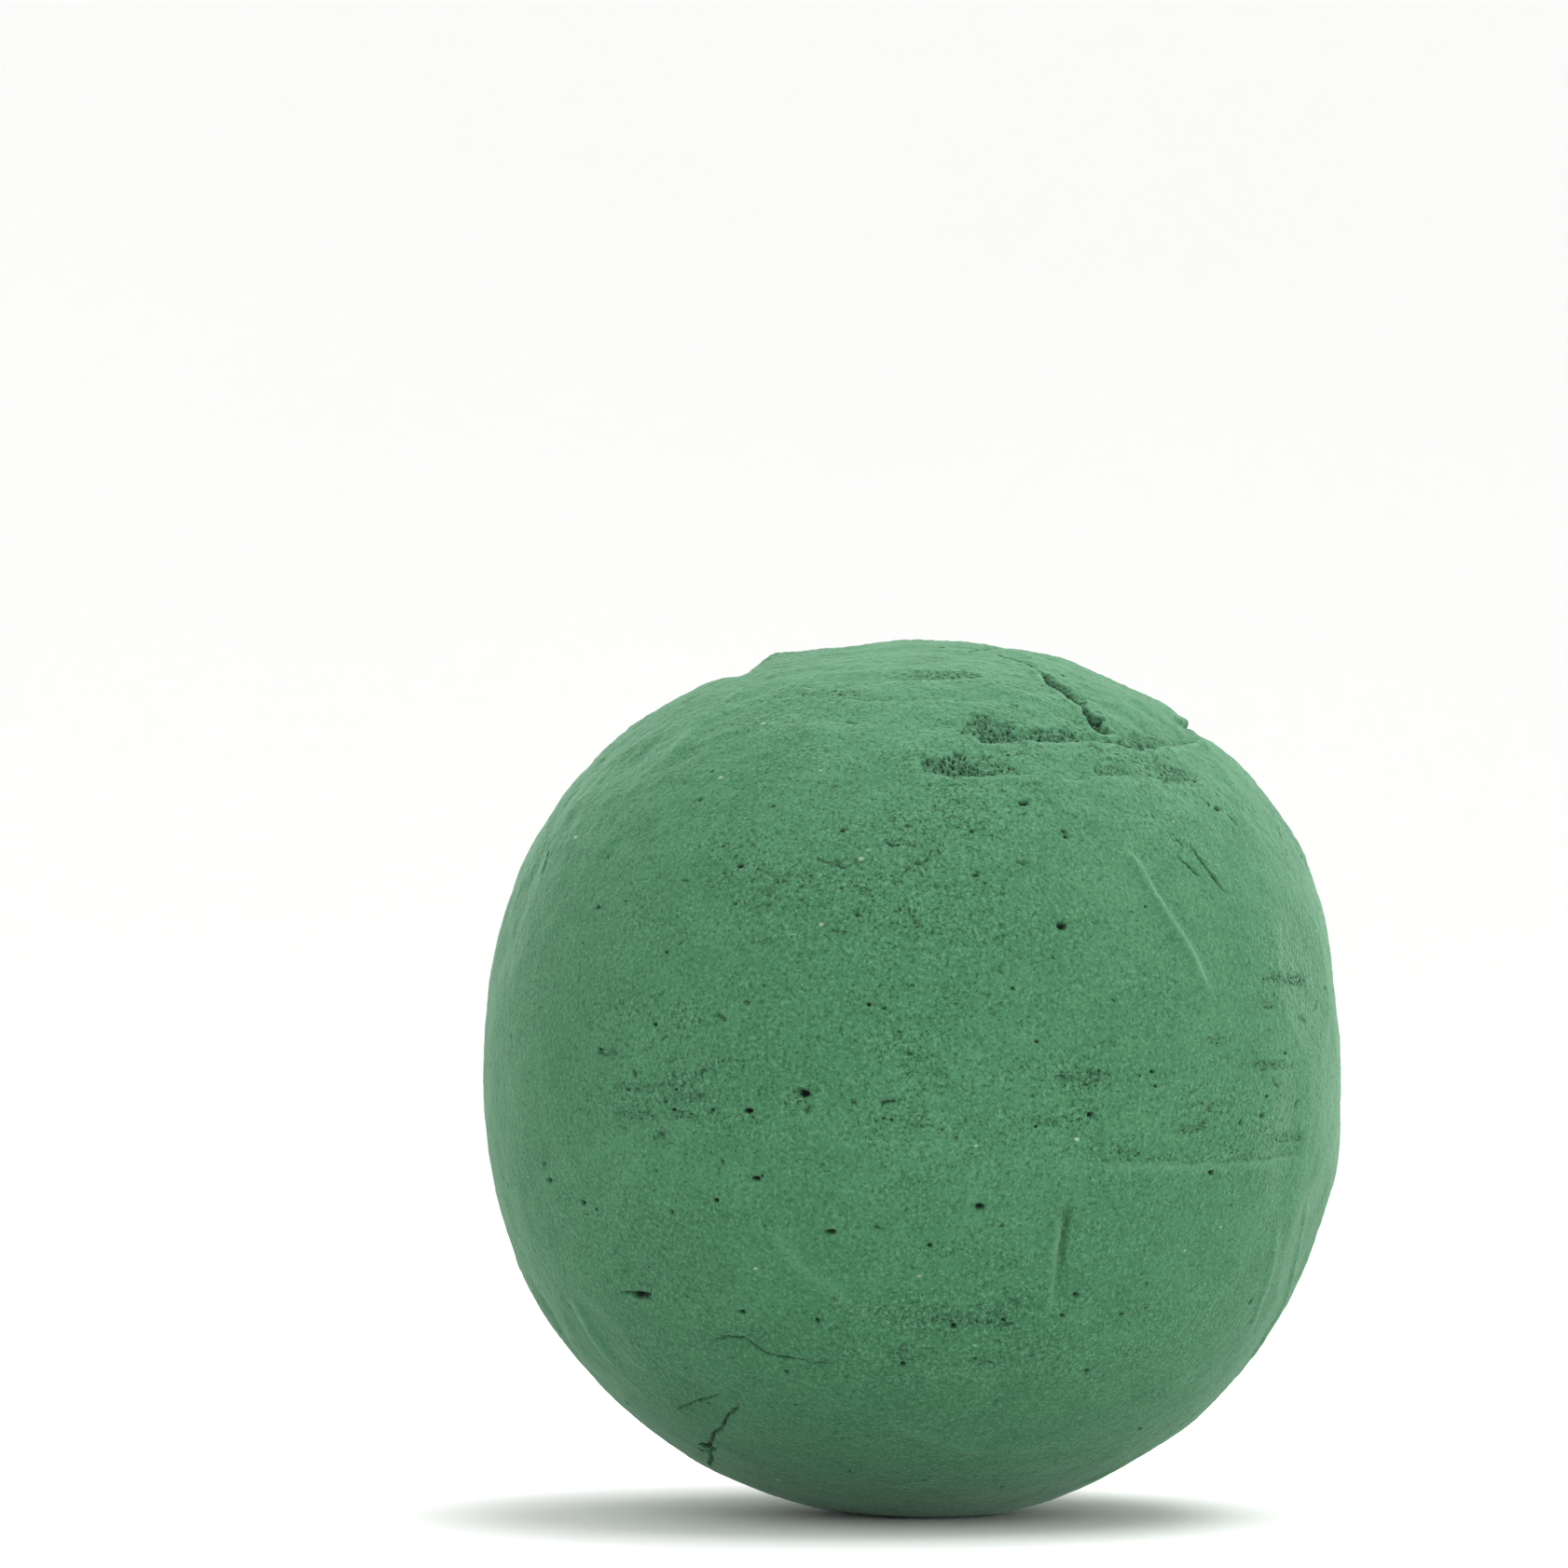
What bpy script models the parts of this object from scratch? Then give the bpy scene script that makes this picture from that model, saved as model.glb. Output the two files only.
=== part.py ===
"""Floral foam ball of 90 mm: one solid, slightly squared-off piece of green phenolic foam.

The ball rests on a small crushed flat. The origin is the centre of that flat, +Z is up and the
front of the ball faces -Y. Places on the ball are given by azimuth (0 at the front, positive
towards +X) and elevation, both in degrees and seen from the ball's centre.
"""

import math

import bmesh
import bpy
from mathutils import Matrix, Vector

MM = 0.001

# Driving dimensions, in millimetres and degrees
REST_HEIGHT = 44.7  # centre of the ball above the flat that it rests on
FOOT_RADIUS = 45.3
WAIST_RADIUS = 44.0
SHOULDER_RADIUS = 46.2
CROWN_RADIUS = 44.9

# The turned form: elevation and radius of each station, joined by smooth steps
STATIONS = [
    (-90.0, FOOT_RADIUS),
    (-50.0, FOOT_RADIUS),
    (0.0, WAIST_RADIUS),
    (42.0, SHOULDER_RADIUS),
    (84.0, CROWN_RADIUS),
    (90.0, CROWN_RADIUS),
]

# What makes the form lopsided: azimuth, elevation, height and angular spread of each swelling.
# The last one is the lower end of the flap that lifted between the crack and the notch.
SWELLINGS = [
    (90.0, 33.0, 0.5, 14.0),
    (-90.0, 52.0, 0.4, 12.0),
    (90.0, -62.0, 0.4, 25.0),
    (-90.0, -70.0, -0.3, 25.0),
    (10.0, 10.0, 0.4, 30.0),
    (180.0, -15.0, 0.5, 35.0),
    (150.0, 45.0, -0.5, 20.0),
    (-150.0, 20.0, -0.4, 22.0),
    (84.0, 57.0, 0.5, 6.0),
]

# Shallow facets pressed into the ball: azimuth, elevation and depth below the form
FACETS = [
    (-90.0, 61.0, 0.5),
    (-88.0, 38.0, 0.5),
    (-60.0, -34.0, 0.4),
    (66.0, 8.0, 0.4),
    (75.0, -18.0, 0.5),
    (125.0, 30.0, 0.6),
    (-130.0, -20.0, 0.6),
    (170.0, 55.0, 0.5),
]

# Pockets torn out of the cells: azimuth, elevation, then width, height and depth
TORN_POCKETS = [
    (17.5, 51.0, 5.0, 3.0, 1.6),
    (9.0, 44.5, 6.4, 2.6, 1.4),
    (36.5, 43.0, 4.2, 1.8, 1.0),
    (55.5, 42.5, 5.0, 2.0, 1.2),
    (160.0, 20.0, 6.0, 2.6, 1.5),
    (-140.0, 48.0, 5.0, 2.4, 1.3),
]

# Single large cells that opened at the surface: azimuth, elevation and diameter
PITS = [
    (-14.0, -2.0, 1.7),
    (17.0, 37.5, 1.6),
    (20.5, 20.0, 1.6),
    (-22.0, -4.5, 1.3),
    (-27.0, -17.0, 1.2),
    (-23.0, -31.0, 1.3),
    (9.0, -17.0, 1.3),
    (-35.0, 24.5, 1.3),
    (34.0, 15.0, 1.2),
    (-9.0, -49.0, 1.4),
    (140.0, -10.0, 1.5),
    (-120.0, 10.0, 1.4),
    (-165.0, -35.0, 1.5),
    (110.0, 40.0, 1.3),
]

# Fingernail gouge low on the left: azimuth, elevation, then width, height and depth
GOUGE = (-48.0, -30.0, 3.6, 1.2, 1.3)

# The crack at the top right, as azimuth and elevation along its lip, from the crown downwards.
# It opens towards +X, and its other wall overhangs.
CRACK_LIP = [(47.0, 77.0), (48.0, 71.0), (46.0, 65.0), (42.0, 58.0), (42.0, 51.0), (46.0, 47.5)]
CRACK_WIDTH = 3.2
CRACK_DEPTH = 2.6
CRACK_UNDERCUT = 0.9

# The notch in the right shoulder, under the edge of the flap that lifted beside the crack.
# Its lip runs from behind to the front, and it opens downwards.
NOTCH_LIP = [(112.0, 52.0), (98.0, 51.0), (84.0, 50.5), (70.0, 51.5), (58.0, 51.0)]
NOTCH_WIDTH = 5.0
NOTCH_DEPTH = 1.6
NOTCH_UNDERCUT = 0.1

FACET_REACH = 0.5  # cosine of the widest angle that a facet's plane may cut out to
CAGE_CUTS = 9  # cuts along each edge of the starting cube
SMOOTHING_LEVELS = 1
CAGE_SWELL = 1.0055  # the smoothed skin lies this much inside its cage
CUTTER_STANDOFF = 1.5  # how far a groove's cutter reaches out of the skin
GROOVE_END_SHARE = 1.0 / 3.0  # a groove's size at its ends, of its size in the middle
FLAT_CUTTER_SIZE = 60.0

FOAM_GREEN = (0.051, 0.168, 0.081, 1.0)
FOAM_ROUGHNESS = 0.95


def clear_scene():
    """Remove what the file already holds."""
    for old in list(bpy.data.objects):
        bpy.data.objects.remove(old, do_unlink=True)


def new_collection(name):
    collection = bpy.data.collections.new(name)
    bpy.context.scene.collection.children.link(collection)
    return collection


def direction(azimuth, elevation):
    """Unit vector from the ball's centre towards a place on it."""
    a = math.radians(azimuth)
    e = math.radians(elevation)
    return Vector((math.sin(a) * math.cos(e), -math.cos(a) * math.cos(e), math.sin(e)))


def turned_radius(elevation):
    """Radius of the turned form, stepping smoothly from station to station."""
    for (low, r_low), (high, r_high) in zip(STATIONS, STATIONS[1:]):
        if elevation <= high:
            t = (elevation - low) / (high - low)
            return r_low + (r_high - r_low) * t * t * (3.0 - 2.0 * t)
    return STATIONS[-1][1]


def swollen_radius(towards):
    """Turned form with its swellings."""
    radius = turned_radius(math.degrees(math.asin(max(-1.0, min(1.0, towards.z)))))
    for azimuth, elevation, height, spread in SWELLINGS:
        off = math.degrees(towards.angle(direction(azimuth, elevation)))
        radius += height * math.exp(-0.5 * (off / spread) ** 2)
    return radius


def form_radius(towards):
    """Distance from the centre to the skin, with each facet's plane cutting the form."""
    radius = swollen_radius(towards)
    for azimuth, elevation, depth in FACETS:
        axis = direction(azimuth, elevation)
        facing = towards.dot(axis)
        if facing > FACET_REACH:
            radius = min(radius, (swollen_radius(axis) - depth) / facing)
    return radius


def skin_frame(azimuth, elevation):
    """Matrix at a place on the skin: X across, Y up along the skin, Z outwards. Metres."""
    outwards = direction(azimuth, elevation)
    across = Vector((0.0, 0.0, 1.0)).cross(outwards).normalized()
    upwards = outwards.cross(across)
    place = Vector((0.0, 0.0, REST_HEIGHT)) + outwards * form_radius(outwards)
    turn = Matrix((across, upwards, outwards)).transposed().to_4x4()
    return Matrix.Translation(place * MM) @ turn


def foam_material():
    material = bpy.data.materials.new("floral_foam")
    material.use_nodes = True
    shader = material.node_tree.nodes["Principled BSDF"]
    shader.inputs["Base Color"].default_value = FOAM_GREEN
    shader.inputs["Roughness"].default_value = FOAM_ROUGHNESS
    shader.inputs["Metallic"].default_value = 0.0
    return material


def add_object(name, mesh, collection):
    made = bpy.data.objects.new(name, mesh)
    collection.objects.link(made)
    return made


def mesh_from(bm, name):
    mesh = bpy.data.meshes.new(name)
    bm.to_mesh(mesh)
    bm.free()
    return mesh


def make_ball(collection):
    """Cube cage pushed out to the form, smoothed by a Subdivision Surface."""
    bm = bmesh.new()
    bmesh.ops.create_cube(bm, size=2.0)
    bmesh.ops.subdivide_edges(bm, edges=bm.edges[:], cuts=CAGE_CUTS, use_grid_fill=True)
    for vert in bm.verts:
        # the tangent spaces the cage's points evenly over the ball
        even = Vector([math.tan(c * math.pi / 4.0) for c in vert.co]).normalized()
        vert.co = even * form_radius(even) * CAGE_SWELL * MM
    ball = add_object("foam_ball", mesh_from(bm, "foam_ball"), collection)
    ball.data.shade_smooth()
    ball.location.z = REST_HEIGHT * MM
    ball.data.materials.append(foam_material())
    skin = ball.modifiers.new("skin", "SUBSURF")
    skin.levels = SMOOTHING_LEVELS
    skin.render_levels = SMOOTHING_LEVELS
    return ball


def hide_cutter(cutter):
    cutter.hide_render = True
    cutter.display_type = "WIRE"


def make_flat_cutter(collection):
    """Block whose top is the plane that the ball rests on."""
    bm = bmesh.new()
    bmesh.ops.create_cube(bm, size=FLAT_CUTTER_SIZE * MM)
    cutter = add_object("cut_rest_flat", mesh_from(bm, "cut_rest_flat"), collection)
    cutter.location.z = -0.5 * FLAT_CUTTER_SIZE * MM
    return cutter


def make_pocket_cutter(name, collection, place, size, detail):
    """Faceted ellipsoid sunk into the skin at a place. Its size is width, height and depth."""
    width, height, depth = size
    bm = bmesh.new()
    bmesh.ops.create_icosphere(bm, subdivisions=detail, radius=1.0)
    half = Matrix.Diagonal((width / 2.0 * MM, height / 2.0 * MM, depth * MM, 1.0))
    bm.transform(half)
    cutter = add_object(name, mesh_from(bm, name), collection)
    cutter.matrix_world = skin_frame(*place)
    return cutter


def make_groove_cutter(name, collection, lip, width, depth, undercut):
    """Wedge swept along a lip. It opens to the right of the way along the lip, seen from outside
    with the way pointing up, and it undercuts the lip on the other side."""
    points = [skin_frame(*place) for place in lip]
    bm = bmesh.new()
    rings = []
    for step, frame in enumerate(points):
        before = points[max(step - 1, 0)].translation
        following = points[min(step + 1, len(points) - 1)].translation
        outwards = frame.col[2].to_3d()
        sideways = (following - before).cross(outwards).normalized()
        middle = math.sin(math.pi * (step + 0.5) / len(points))
        size = (GROOVE_END_SHARE + (1.0 - GROOVE_END_SHARE) * middle) * MM
        mouth = frame.translation + outwards * CUTTER_STANDOFF * MM
        root = frame.translation - outwards * depth * size - sideways * undercut * size
        ring = [mouth, root, mouth + sideways * width * size]
        rings.append([bm.verts.new(point) for point in ring])
    for ring, following in zip(rings, rings[1:]):
        for corner in range(3):
            after = (corner + 1) % 3
            bm.faces.new((ring[corner], ring[after], following[after], following[corner]))
    bm.faces.new(rings[0][::-1])
    bm.faces.new(rings[-1])
    bmesh.ops.recalc_face_normals(bm, faces=bm.faces[:])
    return add_object(name, mesh_from(bm, name), collection)


def make_cutters(collection):
    cutters = [
        make_flat_cutter(collection),
        make_groove_cutter(
            "cut_crack", collection, CRACK_LIP, CRACK_WIDTH, CRACK_DEPTH, CRACK_UNDERCUT
        ),
        make_groove_cutter(
            "cut_notch", collection, NOTCH_LIP, NOTCH_WIDTH, NOTCH_DEPTH, NOTCH_UNDERCUT
        ),
        make_pocket_cutter("cut_gouge", collection, GOUGE[:2], GOUGE[2:], detail=2),
    ]
    for number, (azimuth, elevation, *size) in enumerate(TORN_POCKETS, start=1):
        name = f"cut_pocket_{number}"
        cutters.append(make_pocket_cutter(name, collection, (azimuth, elevation), size, detail=2))
    for number, (azimuth, elevation, across) in enumerate(PITS, start=1):
        size = (across, across, across / 2.0)
        name = f"cut_pit_{number}"
        cutters.append(make_pocket_cutter(name, collection, (azimuth, elevation), size, detail=1))
    return cutters


def cut(body, cutter):
    hide_cutter(cutter)
    difference = body.modifiers.new(cutter.name, "BOOLEAN")
    difference.operation = "DIFFERENCE"
    difference.solver = "EXACT"
    difference.object = cutter


def main():
    clear_scene()
    parts = new_collection("floral_foam_ball")
    cutters = new_collection("cutters")
    ball = make_ball(parts)
    for cutter in make_cutters(cutters):
        cut(ball, cutter)


main()
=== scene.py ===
"""Looks of the floral foam ball: its skin of fine open cells with the crack, the torn cells, the
pits, the nail marks and the creases of handling, on a pale floor under soft light.

Lengths are in millimetres until a mesh or an object is placed. A mark on the front is given by how
far across (+X) and up it shows from the ball's centre when it is seen from the camera's side.
"""

import itertools
import math

import bmesh
import bpy
import numpy as np
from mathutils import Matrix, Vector


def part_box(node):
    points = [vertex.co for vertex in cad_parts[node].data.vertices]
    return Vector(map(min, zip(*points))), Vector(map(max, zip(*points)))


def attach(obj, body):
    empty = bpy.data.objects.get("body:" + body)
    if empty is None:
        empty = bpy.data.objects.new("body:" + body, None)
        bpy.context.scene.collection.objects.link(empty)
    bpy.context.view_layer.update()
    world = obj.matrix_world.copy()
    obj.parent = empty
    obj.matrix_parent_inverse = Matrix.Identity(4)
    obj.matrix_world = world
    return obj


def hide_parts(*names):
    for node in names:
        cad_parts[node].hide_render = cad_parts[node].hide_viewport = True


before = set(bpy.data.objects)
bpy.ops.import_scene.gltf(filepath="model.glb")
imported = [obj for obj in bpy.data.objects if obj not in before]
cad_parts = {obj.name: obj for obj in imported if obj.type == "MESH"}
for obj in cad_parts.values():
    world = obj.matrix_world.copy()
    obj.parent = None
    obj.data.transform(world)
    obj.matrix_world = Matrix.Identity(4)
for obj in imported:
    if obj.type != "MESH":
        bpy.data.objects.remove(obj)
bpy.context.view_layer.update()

MM = 0.001

# ---------------------------------------------------------------- the ball's form, as in the CAD
FORM_HEIGHT = 89.47  # height of the form below, which is scaled to the CAD's own height
REST_HEIGHT = 44.7  # the ball's centre above the flat that it rests on
MEAN_RADIUS = 45.0  # for lengths over the skin, and the first guess of a place on it
STATIONS = [(-90.0, 45.3), (-50.0, 45.3), (0.0, 44.0), (42.0, 46.2), (84.0, 44.9), (90.0, 44.9)]
SWELLINGS = [  # azimuth, elevation, height, angular spread
    (90.0, 33.0, 0.5, 14.0),
    (-90.0, 52.0, 0.4, 12.0),
    (90.0, -62.0, 0.4, 25.0),
    (-90.0, -70.0, -0.3, 25.0),
    (10.0, 10.0, 0.4, 30.0),
    (180.0, -15.0, 0.5, 35.0),
    (150.0, 45.0, -0.5, 20.0),
    (-150.0, 20.0, -0.4, 22.0),
    (84.0, 57.0, 0.5, 6.0),
]
FACETS = [  # azimuth, elevation, depth
    (-90.0, 61.0, 0.5),
    (-88.0, 38.0, 0.5),
    (-60.0, -34.0, 0.4),
    (66.0, 8.0, 0.4),
    (75.0, -18.0, 0.5),
    (125.0, 30.0, 0.6),
    (-130.0, -20.0, 0.6),
    (170.0, 55.0, 0.5),
]
FACET_REACH = 0.5  # cosine of the widest angle that a facet's plane may cut out to

# ---------------------------------------------------------------- the camera
VIEW_DISTANCE = 600.0
FRAME_WIDTH = 161.9  # width of the picture at the ball
BALL_RIGHT_OF_MIDDLE = 13.1
BALL_BELOW_MIDDLE = 30.2
MARK_SPREAD = 1.008  # widens the places below to the ball's own size
LEAST_TURN = 0.4  # keeps a mark near the outline from being stretched too far over the form

# ---------------------------------------------------------------- the marks on the front
# The big crack, from the crown down to the right: across, up, width and depth at each place
CRACK = [
    (8.4, 43.4, 0.4, 0.2), (9.4, 43.0, 0.8, 0.4), (10.4, 42.7, 1.4, 0.9), (11.4, 42.4, 1.9, 1.1),
    (12.1, 42.0, 1.0, 0.7), (12.8, 41.6, 1.0, 0.8), (13.4, 41.2, 1.5, 1.1), (13.8, 40.5, 2.3, 1.6),
    (14.3, 40.0, 2.6, 1.8), (15.3, 39.4, 2.9, 1.9), (16.0, 38.7, 3.0, 2.0), (16.7, 38.3, 2.8, 1.9),
    (17.5, 37.8, 1.0, 1.0), (17.7, 37.3, 2.6, 1.8), (18.2, 36.7, 3.2, 2.1), (18.7, 36.2, 3.4, 2.1),
    (19.5, 35.5, 2.6, 1.3), (20.4, 35.4, 1.5, 0.8), (21.3, 35.3, 0.5, 0.3),
]

# Steps where a slice of foam came off: the skin on one side of the line is lower than on the
# other. A line that runs to the right has its low side above it. Height, and how far the low side
# fades out over.
STEPS = [
    ([(5.2, 35.4), (6.5, 34.5), (8.4, 34.2), (10.6, 34.2), (14.4, 34.4), (18.8, 34.3),
      (21.0, 34.1), (22.3, 33.7), (23.5, 33.3), (24.8, 33.6), (26.2, 33.8), (28.6, 33.9),
      (30.6, 34.5), (33.0, 35.4)], 0.85, 3.2),
    ([(0.4, 31.3), (2.0, 30.9), (5.6, 30.8), (10.6, 30.7), (13.5, 31.0)], 0.50, 2.0),
    ([(15.0, 30.6), (16.6, 30.4), (20.7, 30.7), (24.8, 30.5), (27.2, 30.0), (30.0, 30.6)],
     0.35, 1.7),
    ([(12.0, -8.3), (14.0, -8.4), (19.5, -8.7), (26.0, -9.0), (31.3, -8.8), (36.7, -8.4),
      (41.0, -7.5)], 0.22, 2.0),
    ([(-6.0, 39.7), (0.0, 40.4), (5.0, 40.5), (9.0, 41.0)], 0.22, 1.3),
    ([(-8.0, 38.1), (-2.0, 38.4), (4.0, 38.2), (10.0, 38.6)], 0.16, 1.2),
]

# The notch on the outline, where the flap right of the crack ends: azimuth and elevation
FLAP_EDGE = [(112.0, 53.0), (100.0, 52.1), (88.0, 51.8), (80.0, 51.8), (75.5, 52.2), (72.0, 53.6)]
FLAP_EDGE_HEIGHT = 1.15
FLAP_EDGE_FADE = 1.8

# Open, torn cells: middle, half width and half height as seen, depth
TORN_PATCHES = [
    ((8.6, 35.8), (2.7, 1.5), 0.85),
    ((14.2, 35.3), (3.9, 1.0), 0.50),
    ((3.9, 32.2), (2.6, 1.3), 0.65),
    ((7.9, 31.9), (2.8, 1.0), 0.40),
    ((20.0, 31.4), (2.4, 0.7), 0.20),
    ((27.0, 31.0), (2.6, 1.1), 0.22),
    ((24.0, 34.7), (2.8, 1.0), 0.30),
    ((4.0, 41.2), (4.5, 0.5), 0.25),
    ((-8.5, 39.3), (4.0, 0.4), 0.15),
    ((18.0, 0.1), (3.6, 0.7), 0.32),
    ((20.0, 3.2), (2.0, 0.5), 0.20),
    ((14.2, -4.3), (2.6, 0.5), 0.18),
    ((28.8, -5.3), (2.0, 0.5), 0.28),
    ((38.0, -6.2), (2.8, 0.5), 0.26),
    ((36.7, 1.2), (3.0, 0.5), 0.32),
    ((31.3, 3.8), (1.2, 0.5), 0.24),
    ((38.4, 10.0), (2.8, 0.8), 0.30),
    ((36.3, 7.4), (0.9, 0.5), 0.24),
    ((-28.0, -1.0), (3.2, 0.5), 0.24),
    ((-22.2, -2.0), (2.4, 0.5), 0.22),
    ((-28.0, -3.8), (3.0, 0.5), 0.26),
    ((-23.2, -3.9), (1.6, 0.4), 0.26),
    ((-16.8, -4.4), (2.0, 0.5), 0.20),
    ((5.6, -24.6), (4.2, 0.8), 0.24),
    ((-0.6, -28.0), (1.8, 1.0), 0.16),
    ((-6.0, 22.0), (3.5, 0.4), 0.15),
    ((1.5, 23.5), (3.0, 1.4), 0.12),
]
ROW_HEIGHT = 0.85  # a patch with less half height than this is a row of level cells
UPRIGHT_CELL = (0.32, 0.52)  # width and height of one torn cell in a taller patch
LEVEL_CELL = (0.46, 0.30)  # and in a row
CRACK_CELL = (0.32, 0.50)  # and in the crack, along it and across it

# Coarser grain with more dark specks: middle, half width, half height, strength
COARSE_PATCHES = [
    ((0.0, 2.0), (24.0, 26.0), 0.32),
    ((-3.0, 24.5), (13.0, 7.0), 0.45),
    ((-14.0, 21.0), (8.0, 5.0), 0.50),
    ((4.0, 27.0), (7.0, 6.0), 0.30),
    ((-25.0, 2.0), (8.5, 5.0), 0.90),
    ((-23.0, -4.0), (9.0, 2.2), 0.80),
    ((-1.0, -2.0), (10.0, 3.5), 0.45),
    ((18.0, 0.3), (5.0, 1.8), 0.75),
    ((13.0, -5.0), (6.0, 2.5), 0.35),
    ((33.0, -3.5), (8.0, 3.5), 0.70),
    ((39.0, 7.5), (3.5, 5.0), 0.70),
    ((18.0, 33.5), (13.0, 3.5), 0.60),
    ((2.0, 38.0), (14.0, 4.0), 0.45),
    ((-14.0, 34.0), (9.0, 5.0), 0.35),
    ((4.0, -24.5), (9.0, 3.0), 0.90),
    ((-1.0, -28.0), (6.0, 3.0), 0.80),
    ((12.0, -30.0), (8.0, 3.0), 0.30),
    ((14.0, -19.0), (9.0, 6.0), 0.25),
]

# Round open cells: across, up, width and height as seen
PITS = [
    (-10.9, -1.7, 1.25, 0.90), (-16.6, -3.5, 0.85, 0.55), (-15.8, -10.4, 0.8, 0.5),
    (-8.3, -15.9, 1.3, 0.5), (-37.0, -10.6, 0.5, 0.5), (-33.6, -12.9, 0.6, 0.5),
    (-32.2, -13.6, 0.4, 0.4), (-19.9, -12.6, 0.45, 0.45), (-17.3, -24.0, 0.8, 0.4),
    (-9.6, -24.9, 0.5, 0.5), (-0.9, -29.3, 0.7, 0.5), (-6.3, -40.2, 0.4, 0.3),
    (7.0, -13.3, 0.9, 0.6), (30.7, -9.8, 0.6, 0.5), (1.9, -17.3, 0.5, 0.4),
    (4.3, -25.5, 0.6, 0.5), (9.4, -24.9, 0.5, 0.4), (15.4, -24.4, 0.5, 0.4),
    (16.8, -22.3, 0.6, 0.4), (21.4, -24.2, 0.45, 0.35), (34.7, -23.0, 0.4, 0.5),
    (17.9, -30.0, 0.5, 0.5), (8.7, -33.0, 0.4, 0.35), (23.2, -35.9, 0.4, 0.35),
    (18.3, -3.9, 0.6, 0.45), (35.8, -4.0, 0.5, 0.5), (11.6, 27.9, 1.0, 0.55),
    (15.4, 15.4, 0.9, 0.75), (15.6, 25.1, 0.6, 0.35), (15.8, 24.5, 0.4, 0.3),
    (31.4, 27.4, 0.5, 0.5), (24.8, 26.5, 0.35, 0.35), (-7.0, 25.2, 0.5, 0.4),
    (-14.1, 27.6, 0.6, 0.3), (-17.4, 21.5, 0.7, 0.4), (-32.1, 17.4, 0.4, 0.4),
    (-31.8, 2.8, 0.5, 0.35), (-26.2, 5.4, 0.5, 0.35), (-4.3, 7.4, 0.5, 0.4),
    (-5.5, 16.5, 0.4, 0.35), (-24.3, -3.4, 0.5, 0.3), (6.6, 20.6, 0.45, 0.3),
    (-20.3, -3.4, 0.4, 0.3), (24.7, 0.5, 0.5, 0.35), (38.1, 2.4, 0.4, 0.35),
]

# The fingernail's gouge and the blob of the lower crack: middle, half width, half height, depth
GOUGES = [
    ((-27.5, -22.35), (1.10, 0.43), 0.90),
    ((-20.9, -37.6), (1.05, 0.65), 0.85),
    ((-24.8, -37.3), (0.50, 0.25), 0.40),
]

# Fine cracks and scratches: their line, width and depth
CUTS = [
    ([(-29.8, -22.0), (-28.6, -22.15), (-27.2, -22.2)], 0.16, 0.40),
    ([(-26.9, -21.0), (-26.6, -21.7), (-26.8, -22.4)], 0.14, 0.15),
    ([(28.4, 24.1), (29.8, 21.9), (31.0, 20.4), (32.4, 18.6)], 0.15, 0.42),
    ([(26.9, 22.9), (28.0, 21.8), (28.6, 21.4), (29.8, 20.2)], 0.14, 0.28),
    ([(27.1, 24.5), (28.0, 23.3)], 0.12, 0.18),
    ([(32.0, 27.2), (33.8, 25.2)], 0.12, 0.12),
    ([(37.2, 26.8), (38.0, 24.6), (38.6, 22.3)], 0.12, 0.18),
    ([(-17.5, -33.2), (-17.7, -33.9), (-18.5, -34.5), (-19.2, -35.1), (-19.3, -35.8),
      (-20.1, -36.4), (-20.8, -37.8)], 0.16, 0.45),
    ([(-20.6, -38.1), (-20.3, -38.8), (-20.5, -39.6)], 0.17, 0.45),
    ([(-22.0, -37.5), (-21.3, -38.1), (-20.4, -38.2), (-19.7, -37.8)], 0.14, 0.30),
    ([(-24.1, -33.9), (-22.6, -33.5), (-21.3, -33.0), (-19.1, -32.4)], 0.14, 0.30),
    ([(-20.8, -27.4), (-20.0, -26.8), (-18.7, -26.5), (-17.2, -26.6), (-15.9, -27.4),
      (-15.0, -28.3), (-13.0, -28.7), (-10.0, -29.2), (-7.0, -29.2)], 0.13, 0.30),
    ([(-9.8, 22.3), (-8.2, 21.9), (-6.4, 21.3)], 0.12, 0.18),
    ([(-26.6, -6.4), (-24.8, -5.5)], 0.20, 0.24),
    ([(16.0, -12.4), (15.8, -15.5), (15.5, -18.5), (15.2, -20.5)], 0.36, 0.24),
    ([(-37.2, 23.5), (-37.5, 22.2), (-37.9, 20.6)], 0.15, 0.22),
    ([(22.9, 22.1), (25.0, 18.0)], 0.12, 0.10),
]

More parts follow.
